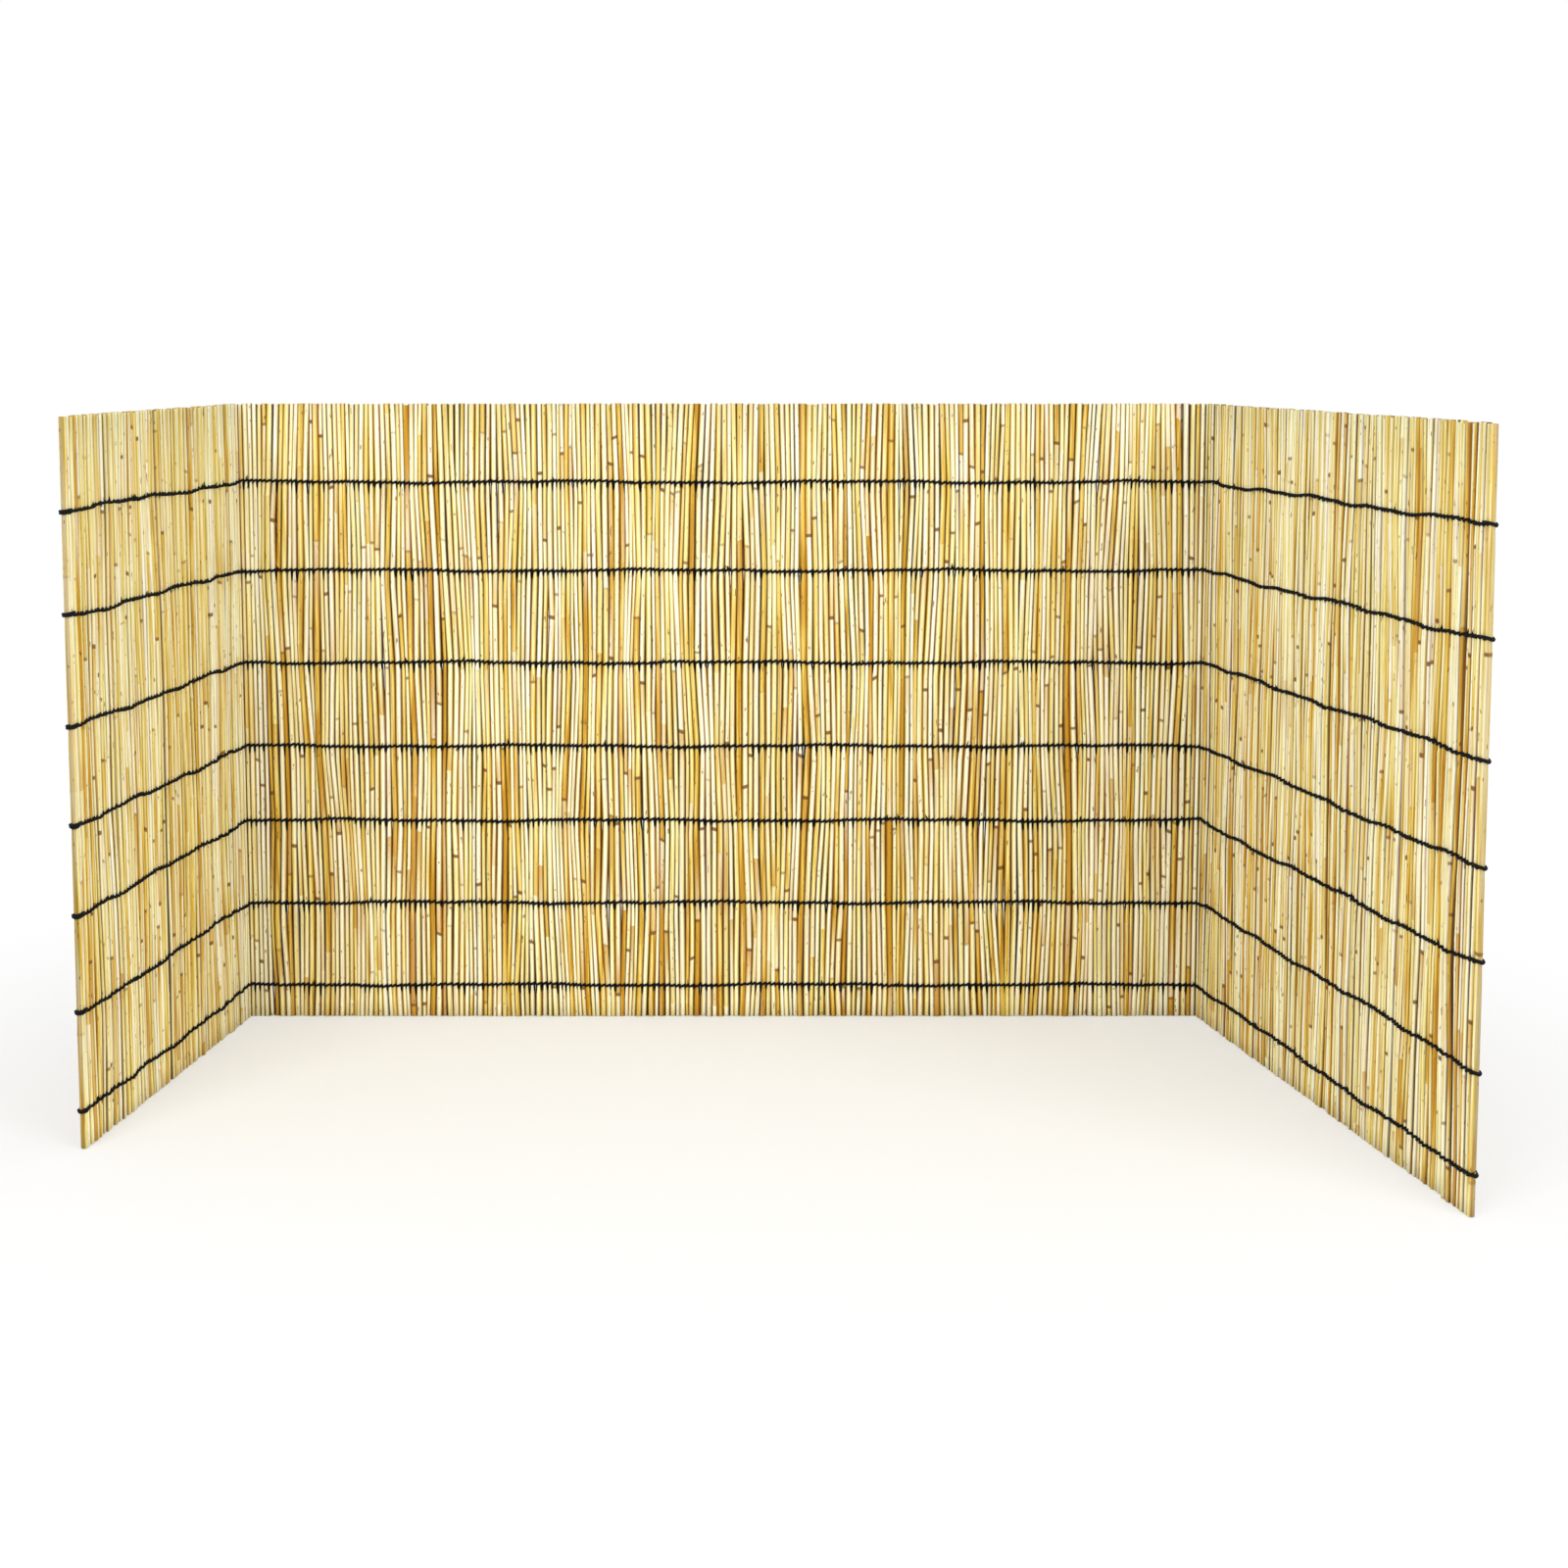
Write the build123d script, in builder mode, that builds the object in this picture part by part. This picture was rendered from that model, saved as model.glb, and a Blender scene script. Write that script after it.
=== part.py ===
from build123d import *
import math
import os
import random

# Reed screen, unrolled and stood on its reed ends round three sides of a bay.
# Upright reeds lie side by side as one ridged mat. Rows of black cord bind them: each row is a pair of
# twined cords that run on opposite faces of the mat and change faces together through gaps between reeds.
# Millimetres, +Z up. The origin is on the floor, below the middle of the back stretch. The open side of
# the bay faces -Y, and the mat is walked from its left end to its right end, with its front face inside.

# Mat
mat_height = 1000.0
left_length = 600.0
back_length = 1550.0
right_length = 850.0
left_splay = 8.0  # degrees that the wing stands outward from square
right_splay = 13.0

# Reeds, drawn with six flat sides
reed_pitch = 8.0  # mean width that a reed takes up along the mat
reed_spread = 0.3  # share of the pitch by which a reed may be thicker or thinner
reed_press = 0.45  # how far a reed presses into each neighbour
reed_seed = 11
corner_clearance = 0.3  # between a corner reed and the first reed of the wing beside it

# Binding cords
cord_thickness = 2.8
bottom_row_height = 53.0  # from the floor up to the lowest row
top_row_drop = 125.0  # from the cut tops down to the highest row
row_shares = (137, 136, 122, 136, 149, 142)  # uneven steps between the rows, from the lowest up
crossings_per_row = 5
seat_clearance = 0.1  # between a cord and the thickest reed
twine_clearance = 0.2  # between the two cords where they pass in a gap
tail_length = 20.0  # what a cord runs back along the other face after it hooks round the end reed

# Gaps, pointed openings where the cords push two reeds apart
gap_clearance = 0.3  # between a cord and each side of its gap
gap_reach = 42.0  # above and below the row

FLANK = math.radians(60)  # slope of a reed's flat sides beside its crest
STAGGER = 0.382  # share of the crossing spacing by which each row is moved along from the last


class Leg:
    """A straight stretch of the mat: where it starts, its direction, its length and its reeds."""

    def __init__(self, name, start, along, length, reeds):
        self.name = name
        self.start = start
        self.along = along
        self.front = along.rotate(Axis.Z, -90)
        self.length = length
        self.reeds = reeds  # pairs of (distance along the leg, width)

    def at(self, distance, offset):
        """The floor point that lies so far along the leg and so far in front of its middle line."""
        return self.start + self.along * distance + self.front * offset

    def seams(self, margin):
        """Distances along the leg where two of its reeds meet, clear of both ends of the leg."""
        meetings = [distance + width / 2 for distance, width in self.reeds]
        return [meeting for meeting in meetings if margin < meeting < self.length - margin]


def widths_filling(length, draw):
    """Reed widths that differ at random and together fill a length."""
    count = round(length / reed_pitch)
    shares = [1 + draw.uniform(-reed_spread, reed_spread) for _ in range(count)]
    return [share * length / sum(shares) for share in shares]


def placed(widths, first_edge):
    """Reeds as (distance, width), laid side by side from an edge."""
    reeds = []
    edge = first_edge
    for width in widths:
        reeds.append((edge + width / 2, width))
        edge += width
    return reeds


def circumradius(width):
    return width / 2 + reed_press


def crest(width):
    """Half the thickness of a reed, from the mat's middle line to its flat crest."""
    return circumradius(width) * math.sin(FLANK)


def lay_out_legs():
    """The left wing, the back and the right wing, with a reed standing in each corner of the back."""
    draw = random.Random(reed_seed)
    left_along = Vector(0, 1).rotate(Axis.Z, -left_splay)
    right_along = Vector(0, -1).rotate(Axis.Z, right_splay)
    left_corner = Vector(-back_length / 2, 0)
    right_corner = Vector(back_length / 2, 0)
    beside_corner = circumradius(reed_pitch) + corner_clearance + reed_press

    left_reeds = placed(widths_filling(left_length - beside_corner, draw), 0)
    back_widths = [reed_pitch, *widths_filling(back_length - reed_pitch, draw), reed_pitch]
    back_reeds = placed(back_widths, -reed_pitch / 2)
    right_reeds = placed(widths_filling(right_length - beside_corner, draw), beside_corner)
    return [
        Leg("left_wing", left_corner - left_along * left_length, left_along, left_length, left_reeds),
        Leg("back", left_corner, Vector(1, 0), back_length, back_reeds),
        Leg("right_wing", right_corner, right_along, right_length, right_reeds),
    ]


def lay_out_rows():
    """The height of each binding row, from the lowest up."""
    share = (mat_height - bottom_row_height - top_row_drop) / sum(row_shares)
    return [bottom_row_height + share * sum(row_shares[:row]) for row in range(len(row_shares) + 1)]


def lay_out_crossings(legs):
    """For each row, and each leg in it, the seams between reeds where its cords change faces."""
    mat_length = sum(leg.length for leg in legs)
    margin = tail_length + 2 * reed_pitch
    rows = []
    for row in range(len(row_shares) + 1):
        shift = (row * STAGGER) % 1
        wanted = [(turn + shift) * mat_length / crossings_per_row for turn in range(crossings_per_row)]
        rows.append([])
        leg_start = 0
        for leg in legs:
            leg_end = leg_start + leg.length
            targets = [distance - leg_start for distance in wanted if leg_start <= distance < leg_end]
            nearest = [min(leg.seams(margin), key=lambda seam: abs(seam - target)) for target in targets]
            rows[-1].append(sorted(set(nearest)))
            leg_start = leg_end
    return rows


LEGS = lay_out_legs()
ROW_HEIGHTS = lay_out_rows()
CROSSINGS = lay_out_crossings(LEGS)

thickest_crest = max(crest(width) for leg in LEGS for _, width in leg.reeds)
cord_offset = thickest_crest + seat_clearance + cord_thickness / 2
cord_rise = (cord_thickness + twine_clearance) / 2  # each cord above or below its row's height
gap_width = cord_thickness + 2 * gap_clearance


def mat_outline(leg):
    """The front half of a leg's section: an end tip, then flat crests and valleys, and the other tip."""
    first_distance, first_width = leg.reeds[0]
    last_distance, last_width = leg.reeds[-1]
    valley = reed_press * math.tan(FLANK)
    points = [(first_distance - circumradius(first_width), 0)]
    for distance, width in leg.reeds:
        half_crest = circumradius(width) * math.cos(FLANK)
        points.append((distance - half_crest, crest(width)))
        points.append((distance + half_crest, crest(width)))
        points.append((distance + width / 2, valley))
    points[-1] = (last_distance + circumradius(last_width), 0)
    return points


def reed_wall(leg, crossings):
    """The reeds of one leg as a ridged wall, with a gap at each place where cords change faces."""
    lens = [(0, -gap_reach), (gap_width / 2, 0), (0, gap_reach), (-gap_width / 2, 0)]
    with BuildPart() as wall:
        with BuildSketch(Plane(leg.start, x_dir=leg.along, z_dir=(0, 0, 1))):
            with BuildLine():
                Polyline(*mat_outline(leg))
                mirror(about=Plane.XZ)
            make_face()
        extrude(amount=mat_height)
        with BuildSketch(Plane(leg.start, x_dir=leg.along, z_dir=leg.front)):
            with Locations(*crossings):
                Polygon(*lens, align=None)
        extrude(amount=cord_offset, both=True, mode=Mode.SUBTRACT)
    return wall


def corner_point(leg, following, offset):
    """Where a cord at that offset turns from one leg into the next."""
    bisector = (leg.front + following.front) / (1 + leg.front.dot(following.front))
    return leg.at(leg.length, 0) + bisector * offset


def cord_route(crossings, first_side):
    """A cord's plan: hooked round one end reed, along the mat from face to face, round the other end."""
    hook = reed_press + seat_clearance + cord_thickness / 2
    offset = first_side * cord_offset
    first, last = LEGS[0], LEGS[-1]
    route = [first.at(tail_length, -offset), first.at(-hook, -offset), first.at(-hook, offset)]
    for index, leg in enumerate(LEGS):
        for distance in crossings[index]:
            route.append(leg.at(distance, offset))
            offset = -offset
            route.append(leg.at(distance, offset))
        if leg is not last:
            route.append(corner_point(leg, LEGS[index + 1], offset))
    end = last.length + hook
    route += [last.at(end, offset), last.at(end, -offset), last.at(last.length - tail_length, -offset)]
    return route


def binding_cord(row, first_side):
    """One of a row's two cords. The one that starts on the front passes above the other in the gaps."""
    middle = Vector(0, 0, ROW_HEIGHTS[row] + first_side * cord_rise)
    with BuildPart() as cord:
        with BuildLine() as route:
            Polyline(*[point + middle for point in cord_route(CROSSINGS[row], first_side)])
        with BuildSketch(Plane(route.line @ 0, z_dir=route.line % 0)):
            Rectangle(cord_thickness, cord_thickness)
        sweep(transition=Transition.RIGHT)
    return cord


os.makedirs("parts", exist_ok=True)

for index, leg in enumerate(LEGS):
    leg_crossings = [
        (distance, height)
        for height, row in zip(ROW_HEIGHTS, CROSSINGS)
        for distance in row[index]
    ]
    wall = reed_wall(leg, leg_crossings)
    wall.part.label = f"{leg.name}_reeds"
    export_step(wall.part, f"parts/{wall.part.label}.step")

for row in range(len(ROW_HEIGHTS)):
    number = len(ROW_HEIGHTS) - row  # rows are numbered from the top
    for place, first_side in (("upper", 1), ("lower", -1)):
        cord = binding_cord(row, first_side)
        cord.part.label = f"row_{number}_{place}_cord"
        export_step(cord.part, f"parts/{cord.part.label}.step")
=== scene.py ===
"""Look of a reed screen: round jointed reeds, twined black cords, a pale floor, soft light and a camera.

Metres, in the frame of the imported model. The layout of the reeds and of the binding rows repeats the
sizes and the random draws of the solids, so each round reed stands where its ridge is.
"""
import math
import random

import bpy
import numpy as np
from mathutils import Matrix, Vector


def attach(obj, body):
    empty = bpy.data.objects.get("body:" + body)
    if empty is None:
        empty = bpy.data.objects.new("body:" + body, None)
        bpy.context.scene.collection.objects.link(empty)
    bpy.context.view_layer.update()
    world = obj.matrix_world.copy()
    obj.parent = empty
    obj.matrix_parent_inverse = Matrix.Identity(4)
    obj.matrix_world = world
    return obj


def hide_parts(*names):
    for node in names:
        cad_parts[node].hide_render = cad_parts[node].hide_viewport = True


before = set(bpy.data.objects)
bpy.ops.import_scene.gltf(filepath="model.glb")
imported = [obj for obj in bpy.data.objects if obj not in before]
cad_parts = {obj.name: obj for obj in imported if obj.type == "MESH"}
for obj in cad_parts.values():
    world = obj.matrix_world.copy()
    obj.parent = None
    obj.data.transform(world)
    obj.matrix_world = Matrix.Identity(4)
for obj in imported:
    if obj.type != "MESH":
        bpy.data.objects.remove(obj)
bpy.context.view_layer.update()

MM = 0.001

# Mat, as in the solids
MAT_HEIGHT = 1.0
LEFT_LENGTH = 0.600
BACK_LENGTH = 1.550
RIGHT_LENGTH = 0.850
LEFT_SPLAY = math.radians(8)
RIGHT_SPLAY = math.radians(13)
REED_PITCH = 8.0 * MM
REED_SPREAD = 0.3
REED_PRESS = 0.45 * MM
REED_SEED = 11
CORNER_CLEARANCE = 0.3 * MM
BOTTOM_ROW_HEIGHT = 53 * MM
TOP_ROW_DROP = 125 * MM
ROW_SHARES = (137, 136, 122, 136, 149, 142)
CROSSINGS_PER_ROW = 5
STAGGER = 0.382
TAIL_LENGTH = 20 * MM
GAP_REACH = 42 * MM

# Round reeds
LOOK_SEED = 5
REED_SIDES = 12
REED_OVERLAP = 0.95 * MM  # how far a round reed reaches past its share of the mat, so no light leaks
BOTTOM_UNEVENNESS = 1.0 * MM
TOP_UNEVENNESS = 1.1 * MM
TAPER = (-0.03, 0.05)  # share of its thickness that a reed loses from bottom to top
BEND_SIZE = 0.8 * MM  # of a reed's own slow bend, at most
BEND_LENGTH = (0.25, 0.7)
DEPTH_SPREAD = 0.65 * MM  # how unevenly the reeds stand before and behind the mat's middle
MOST_DEPTH = 1.3 * MM
GAP_OPENING = 1.5 * MM  # how far the two reeds beside a gap move apart
GAP_SHARES = (1, 0.55, 0.25)  # how much of that each of the nearest reeds moves
ROW_STEPS = (-24 * MM, -1 * MM, 5 * MM)  # rings about a binding row
ROW_SQUEEZE = 0.09
BORE = 0.70  # of a reed's radius, seen at its cut ends
BORE_DEPTH = 18 * MM
RIM_SHADE = 0.35  # of the bore's painted shade, at its edge

# Joints along the reeds
MOST_JOINTS = 4
FIRST_JOINT = (-0.30, 0.05)  # height of a reed's first joint, which may lie below its cut end
JOINT_SPACING = (0.255, 0.40)
JOINT_FREE_END = 15 * MM  # no joint lies this near to a cut end
LEAST_STUB = 50 * MM  # the lowest stretch starts at least this far below the reed's end
JOINT_STEPS = (-5 * MM, -1 * MM, 1 * MM, 5 * MM)  # rings about a joint
JOINT_SWELL = 0.07
SWELL_REACH = 4.5 * MM
JOINT_SLANT = 0.22
SLANT_REACH = 5.5 * MM
MARK_CORE = 1.05 * MM  # a joint's dark ring is full this near to its middle
MARK_FADE = 3.95 * MM
MARK_SHAPE = (1.2, 1.3)  # of the spread of the rings' strengths

# Tones of the reeds, from 0 for amber to 1 for cream
TONE_GROUP = 4  # so many neighbours hold one tone from each part of the range, so no broad bands build up
TONE_RANGE = (0.1, 0.97)
TONE_BIAS = 0.7  # below 1 there are more light reeds than dark ones
TONE_STEP = 0.09  # between the stretches of one reed
FLANK_SHADE_STRENGTH = (0.3, 1)  # of the painted shade on the darker side of a reed
END_TONE = 0.42  # of the two reeds at the ends of the mat
END_BLOOM = 0.5
END_SHADE = 0.4  # how dark the painted shade on the outer sides of those two is
SEAM_SHADES = {  # how dark the painted shade in the seams between reeds is
    "left_wing": (0.1, 0.65),
    "back": (0.6, 1.0),
    "right_wing": (0.2, 0.85),
}
LONGEST_SHADOW_TICK = {"left_wing": 0.35, "back": 1.0, "right_wing": 0.35}  # of the painted shadow wedges under the rows
SHADOW_TICK_SHAPE = (1.2, 1.4)  # of the spread of the wedges' lengths

# Twined cords
STRAND_RADIUS = 2.1 * MM
STRAND_SIDES = 6
STRAND_SEAT = 0.92 * STRAND_RADIUS  # a strand's middle lies this far outside a reed
TWINE_RISE = 1.3 * MM  # how far the two strands part, up and down, where they cross between reeds
PASS_STEPS = (-0.5, -0.32, -0.12, 0.12, 0.32)  # shares of a reed's width at which a strand is placed
SEAM_JOLT = 0.5 * MM  # how unevenly the strands sit between reeds
TAIL_REEDS = 2  # a strand's end runs back over so many reeds
TAIL_RISE = 1.1 * STRAND_RADIUS  # how far that end lies above or below its row
HOOK_RISE = 0.6 * STRAND_RADIUS  # and how far where it turns round the end reed
HOOK_SEAT = 0.9 * STRAND_RADIUS
WHISKERS_PER_METRE = 12  # short stiff tufts that stand out of a strand
WHISKER_LENGTH = (6.5 * MM, 10 * MM)
WHISKER_RADIUS = 2.2 * MM
WHISKER_SIDES = 4
WHISKER_LEAN = 0.3


class Leg:
    """A straight stretch of the mat, with its reeds as (distance along the leg, width)."""

    def __init__(self, name, start, along, length, reeds, mat_start):
        self.name = name
        self.start = np.array(start)
        self.along = np.array(along)
        self.front = np.array([along[1], -along[0]])
        self.length = length
        self.reeds = reeds
        self.mat_start = mat_start

    def at(self, distance, offset):
        """Floor points so far along the leg and so far in front of its middle line."""
        distance = np.asarray(distance)[..., None]
        offset = np.asarray(offset)[..., None]
        return self.start + self.along * distance + self.front * offset


def widths_filling(length, draw):
    """Reed widths that differ at random and together fill a length."""
    count = round(length / REED_PITCH)
    shares = [1 + draw.uniform(-REED_SPREAD, REED_SPREAD) for _ in range(count)]
    return [share * length / sum(shares) for share in shares]


def placed(widths, first_edge):
    """Reeds as (distance, width), laid side by side from an edge."""
    reeds = []
    edge = first_edge
    for width in widths:
        reeds.append((edge + width / 2, width))
        edge += width
    return reeds


def lay_out_legs():
    """The left wing, the back and the right wing, as the solids have them."""
    draw = random.Random(REED_SEED)
    left_along = (math.sin(LEFT_SPLAY), math.cos(LEFT_SPLAY))
    right_along = (math.sin(RIGHT_SPLAY), -math.cos(RIGHT_SPLAY))
    beside_corner = REED_PITCH / 2 + 2 * REED_PRESS + CORNER_CLEARANCE
    left_reeds = placed(widths_filling(LEFT_LENGTH - beside_corner, draw), 0)
    back_widths = [REED_PITCH, *widths_filling(BACK_LENGTH - REED_PITCH, draw), REED_PITCH]
    back_reeds = placed(back_widths, -REED_PITCH / 2)
    right_reeds = placed(widths_filling(RIGHT_LENGTH - beside_corner, draw), beside_corner)
    left_start = (-BACK_LENGTH / 2 - left_along[0] * LEFT_LENGTH, -left_along[1] * LEFT_LENGTH)
    return [
        Leg("left_wing", left_start, left_along, LEFT_LENGTH, left_reeds, 0),
        Leg("back", (-BACK_LENGTH / 2, 0), (1, 0), BACK_LENGTH, back_reeds, LEFT_LENGTH),
        Leg("right_wing", (BACK_LENGTH / 2, 0), right_along, RIGHT_LENGTH, right_reeds,
            LEFT_LENGTH + BACK_LENGTH),
    ]


def lay_out_rows():
    """The height of each binding row, from the lowest up."""
    share = (MAT_HEIGHT - BOTTOM_ROW_HEIGHT - TOP_ROW_DROP) / sum(ROW_SHARES)
    return [BOTTOM_ROW_HEIGHT + share * sum(ROW_SHARES[:row]) for row in range(len(ROW_SHARES) + 1)]


def lay_out_gaps(legs):
    """Per leg, the gaps as (index of the reed before the gap, height)."""
    mat_length = sum(leg.length for leg in legs)
    margin = TAIL_LENGTH + 2 * REED_PITCH
    gaps = [[] for _ in legs]
    for row, height in enumerate(ROWS):
        shift = (row * STAGGER) % 1
        for turn in range(CROSSINGS_PER_ROW):
            wanted = (turn + shift) * mat_length / CROSSINGS_PER_ROW
            index = max(i for i, leg in enumerate(legs) if leg.mat_start <= wanted)
            leg = legs[index]
            seams = [distance + width / 2 for distance, width in leg.reeds]
            usable = [i for i, seam in enumerate(seams) if margin < seam < leg.length - margin]
            nearest = min(usable, key=lambda i: abs(seams[i] - (wanted - leg.mat_start)))
            gaps[index].append((nearest, height))
    return gaps


ROWS = lay_out_rows()
LEGS = lay_out_legs()
GAPS = lay_out_gaps(LEGS)


# How the reeds grow and sway

SWAY_WAVES = (  # size, length along the mat, length up the mat, and the phases of the two
    (4.2 * MM, 0.410, 0.95, 0.0, 0.0),
    (2.6 * MM, 0.190, 0.56, 1.7, 2.3),
    (1.5 * MM, 0.097, 0.31, 3.4, 4.6),
    (0.7 * MM, 0.055, 0.23, 5.1, 6.9),
)
SWAY_DRIFT = 5  # how fast the second phase moves on along the mat, in radians per metre
SWAY_FADE = 55 * MM  # the sway dies out this near to a corner or an end


def smooth(value):
    """A value from 0 to 1, with soft ends."""
    value = np.clip(value, 0, 1)
    return value * value * (3 - 2 * value)


def nearness(height, middle, reach):
    """1 at a middle height, falling evenly to 0 at a reach above and below it."""
    return np.clip(1 - np.abs(height - middle) / reach, 0, 1)


def bend_at(bend, height):
    """How far a bend, given as (size, length, phase), is out at a height."""
    size, length, phase = bend
    return size * np.sin(math.tau * height / length + phase)


class Reed:
    """One round reed: its line, its radius, its joints and its tones at any height."""

    def __init__(self, leg, index, tone, draw):
        self.leg = leg
        self.distance, width = leg.reeds[index]
        self.radius = width / 2 + REED_OVERLAP
        self.bottom = draw.uniform(0, BOTTOM_UNEVENNESS)
        self.top = MAT_HEIGHT - abs(draw.gauss(0, TOP_UNEVENNESS))
        self.taper = draw.uniform(*TAPER)
        self.bend_along, self.bend_out = [
            (draw.uniform(0, BEND_SIZE), draw.uniform(*BEND_LENGTH), draw.uniform(0, math.tau))
            for _ in range(2)
        ]
        self.depth = max(-MOST_DEPTH, min(MOST_DEPTH, draw.gauss(0, DEPTH_SPREAD)))
        self.joints = []
        height = draw.uniform(*FIRST_JOINT)
        self.first_joint = height
        while height < self.top - JOINT_FREE_END:
            if height > JOINT_FREE_END:
                self.joints.append(height)
            height += draw.uniform(*JOINT_SPACING)
        self.last_joint = height
        self.marks = [draw.betavariate(*MARK_SHAPE) for _ in range(MOST_JOINTS)]
        self.slants = [draw.gauss(0, JOINT_SLANT) for _ in range(MOST_JOINTS)]
        self.tones = [min(1, max(0, tone + draw.gauss(0, TONE_STEP))) for _ in range(MOST_JOINTS + 1)]
        self.blooms = [draw.uniform(0, 1) for _ in range(MOST_JOINTS + 1)]
        self.upside_down = draw.random() < 0.5
        # which side of the reed takes painted shade, and how much
        self.flank_shade = draw.choice((-1, 1)) * draw.uniform(*FLANK_SHADE_STRENGTH)
        self.seam_shades = [0, 0]
        self.seam_shadow_ticks = [0, 0]
        self.pushes = []

    def ring_heights(self):
        """Where the reed has rings of points: at its ends, its joints and the binding rows."""
        heights = [self.bottom, self.top]
        heights += [row + step for row in ROWS for step in ROW_STEPS]
        heights += [joint + step for joint in self.joints for step in JOINT_STEPS]
        return np.sort(np.clip(heights, self.bottom, self.top))

    def sway(self, height):
        """How far the reed leaves its own upright line, along the mat."""
        place = self.leg.mat_start + self.distance
        edge = min(self.distance, self.leg.length - self.distance)
        lean = bend_at(self.bend_along, height)
        for size, along, up, phase_along, phase_up in SWAY_WAVES:
            across = math.sin(math.tau * place / along + phase_along)
            lean += size * across * np.sin(math.tau * height / up + phase_up + SWAY_DRIFT * place)
        lean *= smooth(edge / SWAY_FADE)
        for middle, push in self.pushes:
            lean += push * nearness(height, middle, GAP_REACH)
        return lean

    def line(self, height):
        """The reed's middle at a height: distance along the leg, and distance in front of its middle."""
        height = np.asarray(height, dtype=float)
        return self.distance + self.sway(height), self.depth + bend_at(self.bend_out, height)

    def girth(self, height):
        """The reed's radius at a height."""
        height = np.asarray(height, dtype=float)
        share = 1 - self.taper * (height / MAT_HEIGHT - 0.5)
        for joint in self.joints:
            share += JOINT_SWELL * nearness(height, joint, SWELL_REACH)
        return self.radius * share * (1 - ROW_SQUEEZE * self.tuck(height))

    def tuck(self, height):
        """1 at a binding row, dying away below and above it."""
        height = np.asarray(height, dtype=float)
        near = np.zeros_like(height)
        for row in ROWS:
            reach = np.where(height < row, -ROW_STEPS[0], ROW_STEPS[-1])
            near = np.maximum(near, nearness(height, row, reach))
        return near

    def joint_mark(self, height):
        """How dark the ring at a joint is, dying away beside it."""
        mark = np.zeros_like(height)
        for joint, strength in zip(self.joints, self.marks):
            near = np.clip(1 - (np.abs(height - joint) - MARK_CORE) / MARK_FADE, 0, 1)
            mark = np.maximum(mark, strength * near)
        return mark

    def slant(self, height):
        """How steeply a ring tips along the mat: joints seldom lie square across the reed."""
        tip = np.zeros_like(height)
        for joint, slope in zip(self.joints, self.slants):
            tip += slope * (np.abs(height - joint) < SLANT_REACH)
        return tip

    def stretch(self, height):
        """Where a height lies between two joints, from 0 to 1, and that stretch's tone and bloom."""
        edges = np.array([self.first_joint, *self.joints, self.last_joint])
        edges[0] = min(edges[0], self.bottom - LEAST_STUB)
        index = np.clip(np.searchsorted(edges, height, side="right") - 1, 0, len(edges) - 2)
        share = (height - edges[index]) / (edges[index + 1] - edges[index])
        share = np.clip(1 - share if self.upside_down else share, 0, 1)
        return share, np.array(self.tones)[index], np.array(self.blooms)[index]


def spread_tones(count, draw):
    """Tones for reeds in a row, spread over the whole range within each few neighbours."""
    shares = []
    while len(shares) < count:
        parts = draw.sample(range(TONE_GROUP), TONE_GROUP)
        shares += [(part + draw.random()) / TONE_GROUP for part in parts]
    darkest, lightest = TONE_RANGE
    return [darkest + (lightest - darkest) * share ** TONE_BIAS for share in shares[:count]]


def grow_reeds():
    """Every reed, leg by leg, with the reeds beside each gap pushed apart."""
    draw = random.Random(LOOK_SEED)
    grown = []
    for leg, gaps in zip(LEGS, GAPS):
        tones = spread_tones(len(leg.reeds), draw)
        reeds = [Reed(leg, index, tone, draw) for index, tone in enumerate(tones)]
        for before, height in gaps:
            for away, share in enumerate(GAP_SHARES):
                push = share * (GAP_OPENING / 2)
                reeds[before - away].pushes.append((height, -push))
                reeds[before + 1 + away].pushes.append((height, push))
        for before, after in zip(reeds, reeds[1:]):
            # how dark the painted shade in the seam between two neighbours is
            before.seam_shades[1] = after.seam_shades[0] = draw.uniform(*SEAM_SHADES[leg.name])
            # how long the painted shadow wedge under each row is in that seam
            shadow_tick = LONGEST_SHADOW_TICK[leg.name] * draw.betavariate(*SHADOW_TICK_SHAPE)
            before.seam_shadow_ticks[1] = after.seam_shadow_ticks[0] = shadow_tick
        grown.append(reeds)
    for end_reed in (grown[0][0], grown[-1][-1]):
        end_reed.tones = [END_TONE] * (MOST_JOINTS + 1)
        end_reed.blooms = [END_BLOOM] * (MOST_JOINTS + 1)
        end_reed.flank_shade = 0
    # painted shade on the outer sides of the two end reeds
    grown[0][0].seam_shades[0] = END_SHADE
    grown[-1][-1].seam_shades[1] = END_SHADE
    return grown


REEDS = grow_reeds()


# Mesh helpers

def make_piece(name, vertices, faces, material, attributes):
    """A smooth mesh piece that rides on the object's only body."""
    mesh = bpy.data.meshes.new(name)
    mesh.from_pydata(vertices, [], faces)
    mesh.polygons.foreach_set("use_smooth", np.ones(len(faces), dtype=bool))
    for key, values in attributes.items():
        layer = mesh.attributes.new(key, "FLOAT", "POINT")
        layer.data.foreach_set("value", np.asarray(values, dtype=np.float32))
    mesh.materials.append(material)
    piece = bpy.data.objects.new(name, mesh)
    bpy.context.scene.collection.objects.link(piece)
    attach(piece, "root")
    return piece


def tube_faces(first, rings, sides):
    """Quads of a tube whose rings of points follow one another from an index."""
    faces = []
    for ring in range(rings - 1):
        low = first + ring * sides
        for side in range(sides):
            following = (side + 1) % sides
            faces.append((low + side, low + following, low + sides + following, low + sides + side))
    return faces


# Reeds

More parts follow.
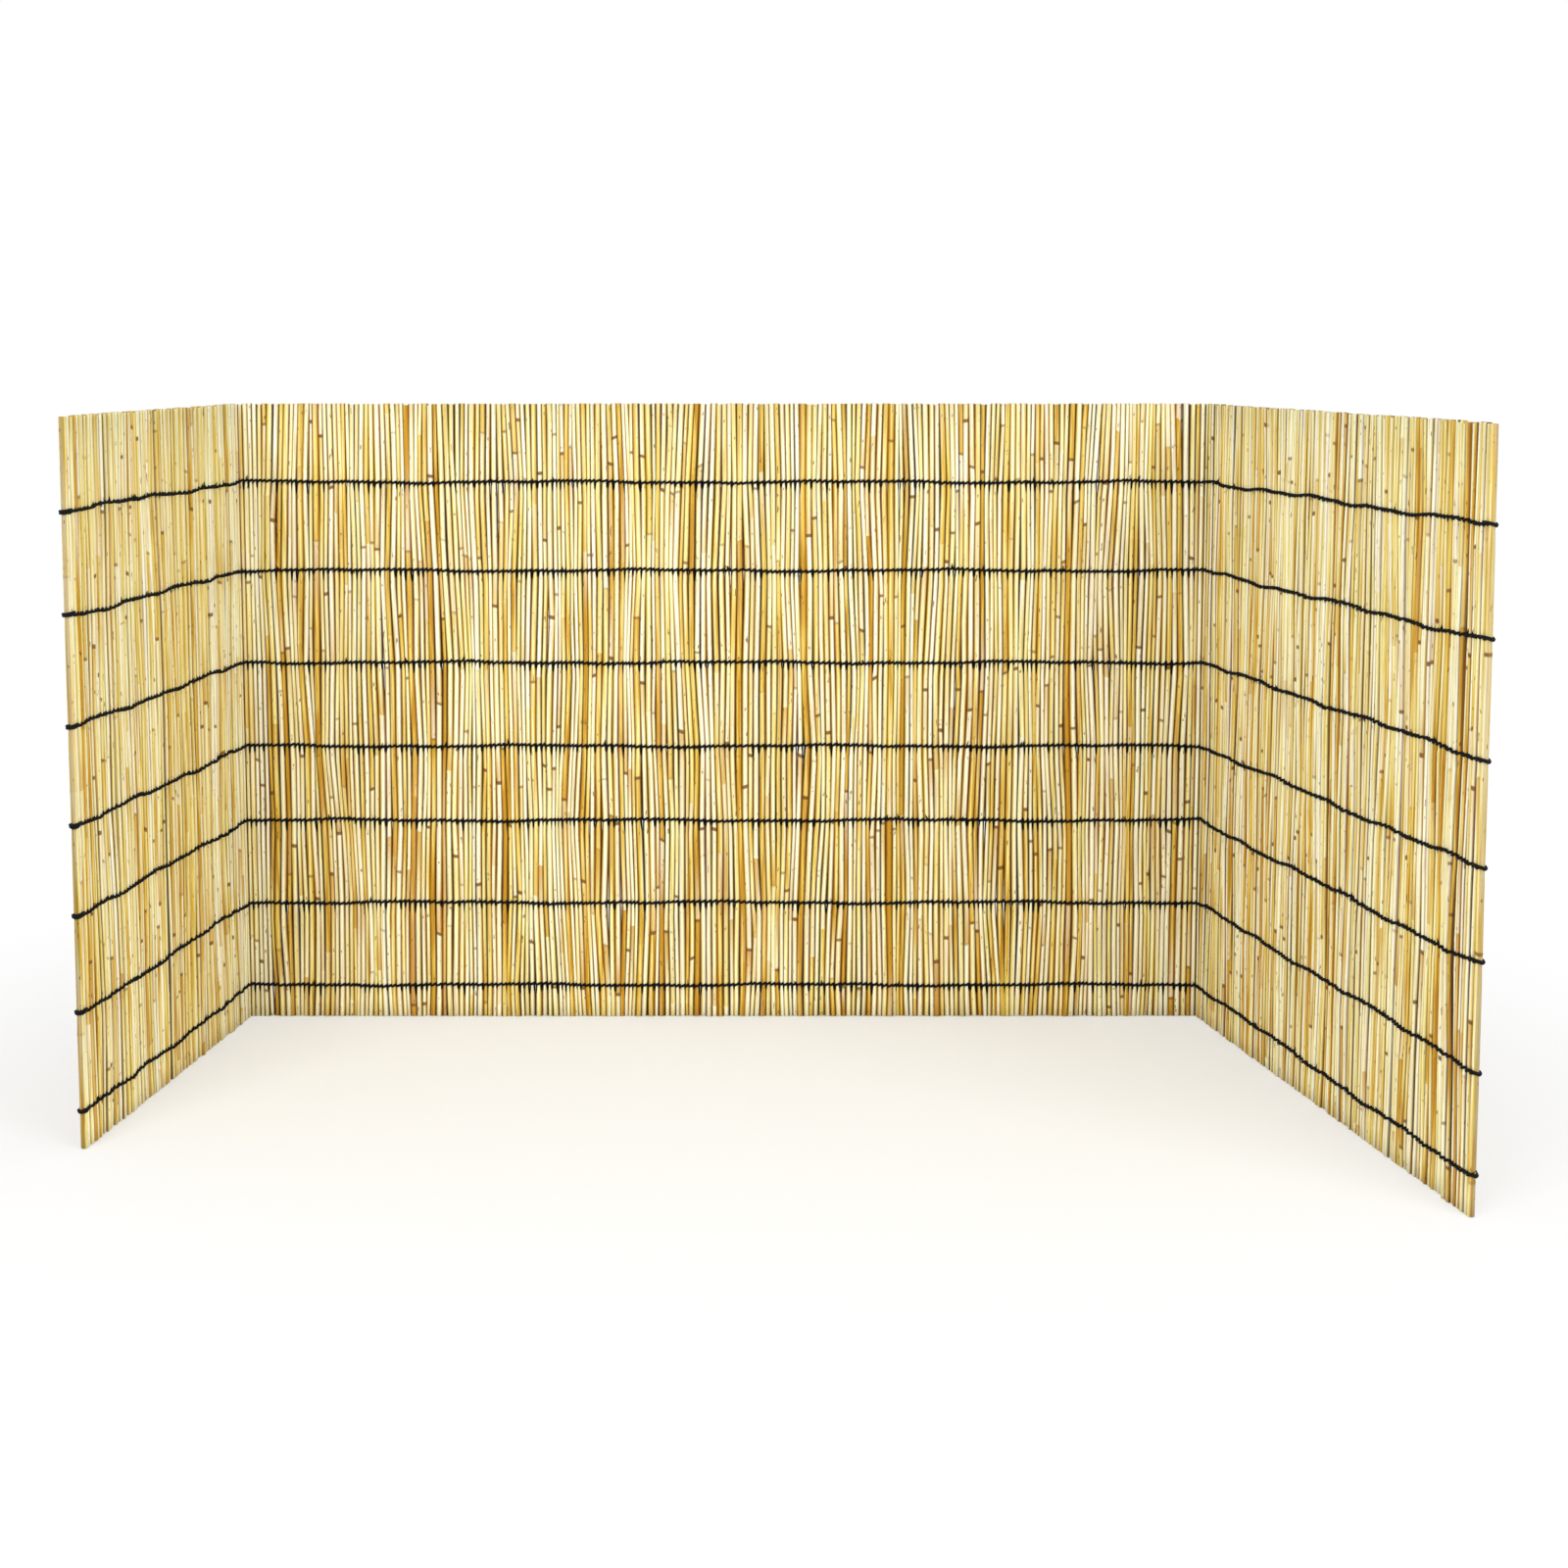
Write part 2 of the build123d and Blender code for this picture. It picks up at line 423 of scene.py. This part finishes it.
def reed_rings(reed):
    """Rings of a reed from its bottom bore, out, up its outside and into its top bore."""
    heights = reed.ring_heights()
    girths = reed.girth(heights)
    middles, depths = reed.line(heights)
    low, high = heights[0], heights[-1]
    inner = BORE * girths[[0, 0, -1, -1]]
    all_heights = np.concatenate([[low + BORE_DEPTH, low], heights, [high, high - BORE_DEPTH]])
    all_girths = np.concatenate([inner[:2], girths, inner[2:]])
    all_middles = np.concatenate([middles[[0, 0]], middles, middles[[-1, -1]]])
    all_depths = np.concatenate([depths[[0, 0]], depths, depths[[-1, -1]]])
    # painted shade inside the bores, full at their bottoms and part at their rims
    bore = np.zeros_like(all_heights)
    bore[[0, -1]] = 1
    bore[[1, -2]] = RIM_SHADE
    return all_heights, all_girths, all_middles, all_depths, bore


def reed_looks(reed, heights, bore, across):
    """What the material reads at each point of a reed: some values by ring, and some by side."""
    share, tone, bloom = reed.stretch(heights)
    by_ring = {
        "tone": tone,
        "bloom": bloom,
        "stretch": share,
        "joint": reed.joint_mark(heights),
        "tuck": reed.tuck(heights),
        "bore": bore,
        "flank_shade": np.full_like(heights, reed.flank_shade),
    }
    by_side = {
        "turn": across,
        "shade": np.where(across < 0, *reed.seam_shades),
        "shadow_tick": np.where(across < 0, *reed.seam_shadow_ticks),
    }
    looks = {key: np.repeat(values, len(across)) for key, values in by_ring.items()}
    looks.update({key: np.tile(values, len(heights)) for key, values in by_side.items()})
    return looks


def reed_piece(leg, reeds, material):
    """The reeds of one leg as round, hollow-ended stems."""
    angles = np.arange(REED_SIDES) * math.tau / REED_SIDES
    across, outward = np.cos(angles), np.sin(angles)
    vertices, faces, looks = [], [], {}
    for reed in reeds:
        heights, girths, middles, depths, bore = reed_rings(reed)
        first = len(vertices)
        spread = girths[:, None]
        plan = leg.at(middles[:, None] + spread * across, depths[:, None] + spread * outward)
        levels = heights[:, None] + (reed.slant(heights) * girths)[:, None] * across
        vertices += np.concatenate([plan, levels[..., None]], axis=2).reshape(-1, 3).tolist()
        faces += tube_faces(first, len(heights), REED_SIDES)
        faces.append(tuple(range(first + REED_SIDES - 1, first - 1, -1)))
        faces.append(tuple(range(len(vertices) - REED_SIDES, len(vertices))))
        for key, values in reed_looks(reed, heights, bore, across).items():
            looks.setdefault(key, []).extend(values.tolist())
    piece = make_piece(f"{leg.name}_reed_stems", vertices, faces, material, looks)
    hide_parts(f"{leg.name}_reeds")


# Cords

ROW_WAVES = (  # size on the back, size on the wings, length along the mat, phase from row to row
    (1.5 * MM, 1.5 * MM, 0.460, 1.9),
    (0.8 * MM, 1.6 * MM, 0.173, 2.7),
    (0.4 * MM, 0.8 * MM, 0.083, 4.1),
)


def row_height(row, leg, distance):
    """A row's height at a distance along a leg: rows wander a little."""
    place = leg.mat_start + distance
    height = ROWS[row]
    for on_back, on_wings, length, phase in ROW_WAVES:
        size = on_back if leg.name == "back" else on_wings
        height += size * math.sin(math.tau * place / length + phase * row)
    return height


def tail_points(row, leg, reeds, face, outward):
    """A strand's end: back along a face of the last few reeds, then out to the side of the end reed."""
    end_reed = reeds[0]
    level = row_height(row, leg, end_reed.distance)
    height = level + face * TAIL_RISE
    points = []
    for reed in reversed(reeds):
        middle, depth = reed.line(height)
        points.append((*leg.at(middle, depth + face * (reed.girth(height) + STRAND_RADIUS)), height))
    middle, depth = end_reed.line(level)
    beside = middle + outward * (end_reed.girth(level) + HOOK_SEAT)
    points.append((*leg.at(beside, depth + face * STRAND_RADIUS), level + face * HOOK_RISE))
    return points


def seams_beside(index, middles, depths, girths):
    """Where a strand passes before and after a reed, each as (distance along the leg, depth)."""
    here, depth, girth = middles[index], depths[index], girths[index]
    before = (here - girth - STRAND_RADIUS, depth)
    after = (here + girth + STRAND_RADIUS, depth)
    if index > 0:
        edge = middles[index - 1] + girths[index - 1]
        before = ((edge + here - girth) / 2, (depths[index - 1] + depth) / 2)
    if index < len(middles) - 1:
        edge = middles[index + 1] - girths[index + 1]
        after = ((here + girth + edge) / 2, (depth + depths[index + 1]) / 2)
    return before, after


def strand_points(row, first_side, draw):
    """A strand's line all along the mat: in front of one reed, through the seam, behind the next one."""
    side = first_side
    points = tail_points(row, LEGS[0], REEDS[0][:TAIL_REEDS], -side, -1)
    for leg, reeds in zip(LEGS, REEDS):
        levels = [row_height(row, leg, reed.distance) for reed in reeds]
        lines = [reed.line(level) for reed, level in zip(reeds, levels)]
        middles = [float(middle) for middle, _ in lines]
        depths = [float(depth) for _, depth in lines]
        girths = [float(reed.girth(level)) for reed, level in zip(reeds, levels)]
        for index, level in enumerate(levels):
            before, after = seams_beside(index, middles, depths, girths)
            jolt = draw.gauss(0, SEAM_JOLT)
            for step in PASS_STEPS:
                seam, seam_depth = before if step < 0 else after
                share = abs(step) * 2
                distance = middles[index] + share * (seam - middles[index])
                depth = depths[index] + share * (seam_depth - depths[index])
                bow = math.sqrt(max(0, math.cos(math.pi * step)))
                offset = depth + side * bow * (girths[index] + STRAND_SEAT)
                height = level + side * TWINE_RISE * math.sin(math.pi * step)
                height += jolt * max(0, -2 * step)
                points.append((*leg.at(distance, offset), height))
            side = -side
    points += tail_points(row, LEGS[-1], REEDS[-1][:-TAIL_REEDS - 1:-1], side, 1)[::-1]
    return points


def strand_mesh(points, radius, sides):
    """Vertices and faces of a strand along its points."""
    points = np.array(points)
    tangents = np.gradient(points, axis=0)
    tangents /= np.linalg.norm(tangents, axis=1, keepdims=True)
    sideways = np.cross([0, 0, 1], tangents)
    sideways /= np.linalg.norm(sideways, axis=1, keepdims=True)
    upward = np.cross(tangents, sideways)
    angles = np.arange(sides) * math.tau / sides
    rings = points[:, None] + radius * (np.cos(angles)[None, :, None] * sideways[:, None]
                                        + np.sin(angles)[None, :, None] * upward[:, None])
    faces = tube_faces(0, len(points), sides)
    faces.append(tuple(range(sides - 1, -1, -1)))
    faces.append(tuple(range((len(points) - 1) * sides, len(points) * sides)))
    return rings.reshape(-1, 3).tolist(), faces


def add_whiskers(points, vertices, faces, draw):
    """Little upright cones that grow out of a strand here and there."""
    count = round(WHISKERS_PER_METRE * sum(leg.length for leg in LEGS))
    angles = np.arange(WHISKER_SIDES) * math.tau / WHISKER_SIDES
    ring = WHISKER_RADIUS * np.stack([np.cos(angles), np.sin(angles), 0 * angles], axis=1)
    for base in draw.sample(points, count):
        lean = [draw.gauss(0, WHISKER_LEAN), draw.gauss(0, WHISKER_LEAN), 1]
        tip = np.array(lean) * draw.uniform(*WHISKER_LENGTH)
        first = len(vertices)
        vertices += (np.array(base) + np.vstack([ring, tip])).tolist()
        top = first + WHISKER_SIDES
        faces += [(first + side, first + (side + 1) % WHISKER_SIDES, top) for side in range(WHISKER_SIDES)]
        faces.append(tuple(range(top - 1, first - 1, -1)))


def cord_piece(row, place, first_side, material, draw):
    """One strand of a binding row."""
    number = len(ROWS) - row
    points = strand_points(row, first_side, draw)
    vertices, faces = strand_mesh(points, STRAND_RADIUS, STRAND_SIDES)
    add_whiskers(points, vertices, faces, draw)
    piece = make_piece(f"row_{number}_{place}_strand", vertices, faces, material, {})
    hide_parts(f"row_{number}_{place}_cord")


# Shader nodes

MIX_INPUTS = (0, 6, 7)  # a mix node's factor and its two colours, whose names it uses more than once
MIX_RESULT = 2
BUMP_DEPTH = 0.4 * MM


def linear(red, green, blue):
    """An sRGB colour of 0 to 255 as a linear colour."""
    parts = [part / 255 for part in (red, green, blue)]
    return (*[part / 12.92 if part <= 0.04045 else ((part + 0.055) / 1.055) ** 2.4 for part in parts], 1)


class Nodes:
    """A node tree, with short calls for the nodes used here."""

    def __init__(self, tree):
        self.tree = tree

    def node(self, kind, inputs=None, **settings):
        made = self.tree.nodes.new(kind)
        for key, value in settings.items():
            setattr(made, key, value)
        for key, value in (inputs or {}).items():
            self.feed(made.inputs[key], value)
        return made

    def feed(self, socket, value):
        """Give a socket a value, or link another node's output to it."""
        if isinstance(value, bpy.types.NodeSocket):
            self.tree.links.new(value, socket)
        else:
            socket.default_value = value

    def attribute(self, name):
        return self.node("ShaderNodeAttribute", attribute_name=name).outputs["Fac"]

    def place(self):
        return self.node("ShaderNodeNewGeometry").outputs["Position"]

    def height(self):
        return self.node("ShaderNodeSeparateXYZ", {0: self.place()}).outputs["Z"]

    def maths(self, operation, one, two=0.0):
        return self.node("ShaderNodeMath", {0: one, 1: two}, operation=operation).outputs[0]

    def vectors(self, operation, one, two):
        return self.node("ShaderNodeVectorMath", {0: one, 1: two}, operation=operation).outputs

    def between(self, value, low, high, to_low=0.0, to_high=1.0):
        """A value moved smoothly from one range to another, and held at its ends."""
        inputs = {"Value": value, "From Min": low, "From Max": high, "To Min": to_low, "To Max": to_high}
        return self.node("ShaderNodeMapRange", inputs, interpolation_type="SMOOTHSTEP").outputs["Result"]

    def mix(self, factor, one, two, blend="MIX"):
        made = self.node("ShaderNodeMix", data_type="RGBA", blend_type=blend, clamp_factor=True)
        for index, value in zip(MIX_INPUTS, (factor, one, two)):
            self.feed(made.inputs[index], value)
        return made.outputs[MIX_RESULT]

    def tint(self, colour, tint, value, start, full, most=1.0, blend="MIX"):
        """Lay a tint over a colour where a value is past its start, and at its most where it is full."""
        return self.mix(self.between(value, start, full, 0, most), colour, linear(*tint), blend)

    def ramp(self, value, stops):
        """A colour by a value, from stops of (place, colour)."""
        made = self.node("ShaderNodeValToRGB", {"Fac": value})
        elements = made.color_ramp.elements
        while len(elements) < len(stops):
            elements.new(0.5)
        for element, (place, colour) in zip(elements, stops):
            element.position = place
            element.color = linear(*colour)
        return made.outputs["Color"]

    def noise(self, grain, detail):
        """Noise that is fixed to the object, with so many waves per metre along each axis."""
        stretched = self.vectors("MULTIPLY", self.place(), grain)["Vector"]
        inputs = {"Vector": stretched, "Scale": 1.0, "Detail": detail}
        return self.node("ShaderNodeTexNoise", inputs).outputs["Fac"]

    def seen_directly(self):
        """1 for rays that show a picture, straight, mirrored or through glass, and 0 for all others."""
        path = self.node("ShaderNodeLightPath").outputs
        mirrored = self.maths("MAXIMUM", path["Is Glossy Ray"], path["Is Transmission Ray"])
        return self.maths("MAXIMUM", path["Is Camera Ray"], mirrored)

    def show_blend(self, factor, one, two, output):
        """Blend two surfaces by a factor and show the result."""
        blend = self.node("ShaderNodeMixShader", {0: factor, 1: one, 2: two})
        self.feed(self.tree.nodes[output].inputs["Surface"], blend.outputs["Shader"])


class Shader(Nodes):
    """A material's nodes."""

    def __init__(self, name):
        self.material = bpy.data.materials.new(name)
        self.material.use_nodes = True
        super().__init__(self.material.node_tree)
        self.surface = self.tree.nodes["Principled BSDF"]

    def set_surface(self, colour, roughness, gloss):
        """Set the surface's colour, roughness and gloss."""
        self.feed(self.surface.inputs["Base Color"], colour)
        self.feed(self.surface.inputs["Roughness"], roughness)
        self.feed(self.surface.inputs["Specular IOR Level"], gloss)

    def bump(self, height, strength):
        inputs = {"Height": height, "Strength": strength, "Distance": BUMP_DEPTH}
        self.feed(self.surface.inputs["Normal"], self.node("ShaderNodeBump", inputs).outputs["Normal"])


# Materials

# Colours of 0 to 255, and where a range has several, the place of each
REED_TONES = (
    (0.0, (196, 144, 30)),
    (0.2, (231, 197, 88)),
    (0.45, (244, 230, 150)),
    (0.7, (252, 248, 196)),
    (1.0, (255, 254, 234)),
)
# Painted shade in the seams between reeds
SEAM_SHADE_TONES = (
    (0.38, (142, 90, 6)),
    (0.5, (104, 56, 0)),
    (0.62, (54, 33, 8)),
)
YARN_TONES = (
    (0.35, (5, 5, 6)),
    (0.7, (20, 19, 22)),
)
WEATHERED = (234, 216, 194)
PALE = (255, 252, 238)  # below the joints
GOLD = (210, 162, 54)  # above the joints
FLANK_SHADE = (238, 220, 148)  # painted shade on the darker side of a reed
STREAK = (176, 136, 60)
NEAR_FLOOR = (255, 253, 240)
FLECK = (112, 66, 22)
JOINT_RING = (112, 68, 22)
WEDGE_SHADOW = (14, 10, 8)  # painted shadow in the seams under the binding rows
BORE_SHADE = (96, 70, 34)  # painted shade inside the hollow cut ends

# Grain, as waves per metre along X, Y and Z
STREAK_GRAIN = (620, 620, 9)
PATCH_GRAIN = (230, 230, 7)
WEATHER_GRAIN = (170, 170, 2)
FLECK_GRAIN = (300, 300, 80)
# grain of the browns in the painted seam shade
SEAM_SHADE_GRAIN = (140, 140, 2)
FIBRE_GRAIN = (1400, 1400, 1400)
PATCH_RANGE = (0.25, 0.75)
PATCH_TONE = 0.26  # how far the patches move a reed's tone down and up

# How the colours change up the mat
RICHER = (0.85, 0.15)  # going down between these heights, the colours grow stronger
LOW_CONTRAST = 1.6  # of the tones about their middle, near the floor
MIDDLE_TONE = 0.4
LOW_SEAM_SHADE = 1.25  # how much darker and wider the painted seam shade is near the floor

# Painted shade in the seams and painted shadow wedges under the rows, by the share of a reed's half width
SEAM_SHADE_START = 0.54  # of the lightest painted seam shade
SEAM_SHADE_WIDENING = 0.24  # how much nearer to the reed's middle a dark painted seam shade starts
SEAM_SHADE_END = 0.82
SEAM_SHADE_STRENGTH = 1.3
MOST_SEAM_SHADE = 0.96
WEDGE_TIP = 1.02  # what the nearness to a row and the wedge's length add up to at its tip
WEDGE_FULL = 1.25
WEDGE_START = 0.68
WEDGE_WIDENING = 0.42
WEDGE_EDGE = 0.14

# Surfaces
STREAK_RANGE = (0.3, 0.7)
REED_ROUGHNESS = (0.42, 0.6)  # at the two ends of that range
REED_GLOSS = 0.2
STREAK_BUMP = 0.25
YARN_ROUGHNESS = 0.75
YARN_GLOSS = 0.15
FIBRE_BUMP = 0.5


def stem_colour(shader, height, streaks):
    """Cream to amber by stem, pale below each joint and gold above it, with painted shade on one side,
    streaks, flecks and rings.
    """
    stretch = shader.attribute("stretch")
    bloom = shader.attribute("bloom")
    contrast = shader.between(height, *RICHER, 1, LOW_CONTRAST)
    patches = shader.between(shader.noise(PATCH_GRAIN, detail=2), *PATCH_RANGE, -PATCH_TONE, PATCH_TONE)
    tone = shader.maths("ADD", shader.attribute("tone"), patches)
    tone = shader.maths("MULTIPLY", shader.maths("SUBTRACT", tone, MIDDLE_TONE), contrast)
    tone = shader.maths("ADD", tone, MIDDLE_TONE)
    colour = shader.ramp(tone, REED_TONES)
    weather = shader.noise(WEATHER_GRAIN, detail=1)
    colour = shader.tint(colour, WEATHERED, weather, start=0.54, full=0.68, most=0.38)

    below_joint = shader.between(stretch, low=0.6, high=0.98)
    pale = shader.between(bloom, low=0.25, high=1, to_low=0, to_high=0.65)
    colour = shader.mix(shader.maths("MULTIPLY", below_joint, pale), colour, linear(*PALE))
    above_joint = shader.between(stretch, low=0.33, high=0)
    gold = shader.between(bloom, low=0.75, high=0, to_low=0, to_high=0.5)
    gold = shader.maths("MULTIPLY", shader.maths("MULTIPLY", above_joint, gold), contrast)
    colour = shader.mix(gold, colour, linear(*GOLD))

    # painted shade on one side of each reed
    flank_shade = shader.maths("MULTIPLY", shader.attribute("turn"), shader.attribute("flank_shade"))
    colour = shader.tint(colour, FLANK_SHADE, flank_shade, start=0.02, full=0.38, most=0.85, blend="MULTIPLY")
    colour = shader.tint(colour, STREAK, streaks, start=0.45, full=0.72, most=0.5)
    colour = shader.tint(colour, NEAR_FLOOR, height, *RICHER, blend="MULTIPLY")
    flecks = shader.noise(FLECK_GRAIN, detail=1)
    colour = shader.tint(colour, FLECK, flecks, start=0.69, full=0.76, most=0.8)
    return shader.tint(colour, JOINT_RING, shader.attribute("joint"), start=0.15, full=0.75, most=0.9)


def with_seam_shade(shader, colour, height):
    """A colour with painted shade in the seams along both sides of the reed."""
    side = shader.maths("ABSOLUTE", shader.attribute("turn"))
    shade = shader.attribute("shade")
    shade = shader.maths("MULTIPLY", shade, shader.between(height, *RICHER, 1, LOW_SEAM_SHADE))
    start = shader.maths("SUBTRACT", SEAM_SHADE_START, shader.maths("MULTIPLY", shade, SEAM_SHADE_WIDENING))
    depth = shader.maths("MINIMUM", shader.maths("MULTIPLY", shade, SEAM_SHADE_STRENGTH), MOST_SEAM_SHADE)
    seam = shader.maths("MULTIPLY", shader.between(side, start, SEAM_SHADE_END), depth)
    return shader.mix(seam, colour, shader.ramp(shader.noise(SEAM_SHADE_GRAIN, detail=1), SEAM_SHADE_TONES))


def with_shadow_wedges(shader, colour):
    """A colour with painted shadow under the binding rows, as black wedges in the seams."""
    side = shader.maths("ABSOLUTE", shader.attribute("turn"))
    tuck = shader.attribute("tuck")
    shadow_tick = shader.attribute("shadow_tick")
    tip = shader.maths("SUBTRACT", WEDGE_TIP, shadow_tick)
    full = shader.maths("SUBTRACT", WEDGE_FULL, shadow_tick)
    start = shader.maths("SUBTRACT", WEDGE_START, shader.maths("MULTIPLY", tuck, WEDGE_WIDENING))
    end = shader.maths("ADD", start, WEDGE_EDGE)
    wedge = shader.maths("MULTIPLY", shader.between(tuck, tip, full), shader.between(side, start, end))
    return shader.mix(wedge, colour, linear(*WEDGE_SHADOW))


def reed_material():
    """Dried reed: its own colour and fine streaks along the stem, with painted shade in the seams, in the
    bores and on one side, and painted shadow wedges under the rows.
    """
    shader = Shader("dried_reed")
    height = shader.height()
    streaks = shader.noise(STREAK_GRAIN, detail=3)
    colour = stem_colour(shader, height, streaks)
    colour = with_seam_shade(shader, colour, height)
    colour = with_shadow_wedges(shader, colour)
    # painted shade in the hollow cut ends
    colour = shader.mix(shader.attribute("bore"), colour, linear(*BORE_SHADE))
    shader.set_surface(colour, shader.between(streaks, *STREAK_RANGE, *REED_ROUGHNESS), REED_GLOSS)
    shader.bump(streaks, STREAK_BUMP)
    return shader.material


def cord_material():
    """Black yarn, matt, with fibres that catch a little light."""
    shader = Shader("black_yarn")
    fibres = shader.noise(FIBRE_GRAIN, detail=3)
    shader.set_surface(shader.ramp(fibres, YARN_TONES), YARN_ROUGHNESS, YARN_GLOSS)
    shader.bump(fibres, FIBRE_BUMP)
    return shader.material


# Stage, light and camera

FLOOR_HALF = 9.0
FLOOR_DROP = 0.5 * MM
FLOOR_COLOUR = (0.93, 0.93, 0.93, 1)
FLOOR_ROUGHNESS = 0.9
FLOOR_GLOSS = 0.0
FLOOR_MIDDLE = (0, -0.4, 0)
FLOOR_PLAIN = 0.5  # the floor takes shadows this near to its middle
FLOOR_WHITE = 1.7  # and is plain white from here on
FLOOR_LEAST = 0.3  # share of white in the middle
BACKGROUND = 1.0
WHITE = (1, 1, 1, 1)
WORLD_LIGHT = 0.6
SOFTBOXES = (  # name, place, size, watts
    ("key_softbox", (-1.6, -3.4, 2.4), 2.2, 71),
    ("fill_softbox", (2.4, -3.0, 1.8), 2.2, 54),
    ("top_softbox", (0.0, -0.6, 3.4), 2.6, 8),
)
LIGHT_TARGET = Vector((0, -0.2, 0.45))
CAMERA_PLACE = (0.099, -3.478, 1.096)
CAMERA_PITCH = math.radians(5.4)
CAMERA_SHIFT = -0.15
CAMERA_LENS = 50


def floor_material():
    """Pale floor that turns to the background's white far from the object."""
    shader = Shader("pale_floor")
    shader.set_surface(FLOOR_COLOUR, FLOOR_ROUGHNESS, FLOOR_GLOSS)
    away = shader.vectors("DISTANCE", shader.place(), FLOOR_MIDDLE)["Value"]
    far = shader.between(away, FLOOR_PLAIN, FLOOR_WHITE, FLOOR_LEAST, 1)
    whiteness = shader.maths("MULTIPLY", far, shader.seen_directly())
    plain = shader.surface.outputs["BSDF"]
    white = shader.node("ShaderNodeEmission", {"Color": WHITE, "Strength": BACKGROUND}).outputs["Emission"]
    shader.show_blend(whiteness, plain, white, "Material Output")
    return shader.material


def make_stage():
    """The floor, which is no part of the object."""
    mesh = bpy.data.meshes.new("floor")
    corners = [(-FLOOR_HALF, -FLOOR_HALF), (FLOOR_HALF, -FLOOR_HALF), (FLOOR_HALF, FLOOR_HALF),
               (-FLOOR_HALF, FLOOR_HALF)]
    mesh.from_pydata([(x, y, -FLOOR_DROP) for x, y in corners], [], [(0, 1, 2, 3)])
    mesh.materials.append(floor_material())
    floor = bpy.data.objects.new("floor", mesh)
    bpy.context.scene.collection.objects.link(floor)


def make_world():
    """Even light from all around, with plain white behind the object."""
    world = bpy.data.worlds.new("studio")
    bpy.context.scene.world = world
    world.use_nodes = True
    shader = Nodes(world.node_tree)
    around = shader.tree.nodes["Background"]
    around.inputs["Color"].default_value = WHITE
    around.inputs["Strength"].default_value = WORLD_LIGHT
    behind = shader.node("ShaderNodeBackground", {"Color": WHITE, "Strength": BACKGROUND})
    shader.show_blend(shader.seen_directly(), around.outputs[0], behind.outputs[0], "World Output")


def make_lamps():
    """Square softboxes that face the object."""
    for name, place, size, watts in SOFTBOXES:
        light = bpy.data.lights.new(name, "AREA")
        light.size = size
        light.energy = watts
        lamp = bpy.data.objects.new(name, light)
        lamp.location = place
        lamp.rotation_euler = (LIGHT_TARGET - lamp.location).to_track_quat("-Z", "Y").to_euler()
        bpy.context.scene.collection.objects.link(lamp)


def make_camera():
    """The camera, where the photograph was taken from."""
    data = bpy.data.cameras.new("camera")
    data.lens = CAMERA_LENS
    data.shift_y = CAMERA_SHIFT
    camera = bpy.data.objects.new("camera", data)
    camera.location = CAMERA_PLACE
    camera.rotation_euler = (math.pi / 2 - CAMERA_PITCH, 0, 0)
    bpy.context.scene.collection.objects.link(camera)
    bpy.context.scene.camera = camera


# Build

bpy.context.scene.view_settings.view_transform = "Standard"

reed_look = reed_material()
for leg, reeds in zip(LEGS, REEDS):
    reed_piece(leg, reeds, reed_look)

cord_look = cord_material()
cord_draw = random.Random(LOOK_SEED + 1)
for row in range(len(ROWS)):
    for place, first_side in (("upper", 1), ("lower", -1)):
        cord_piece(row, place, first_side, cord_look, cord_draw)

make_stage()
make_world()
make_lamps()
make_camera()
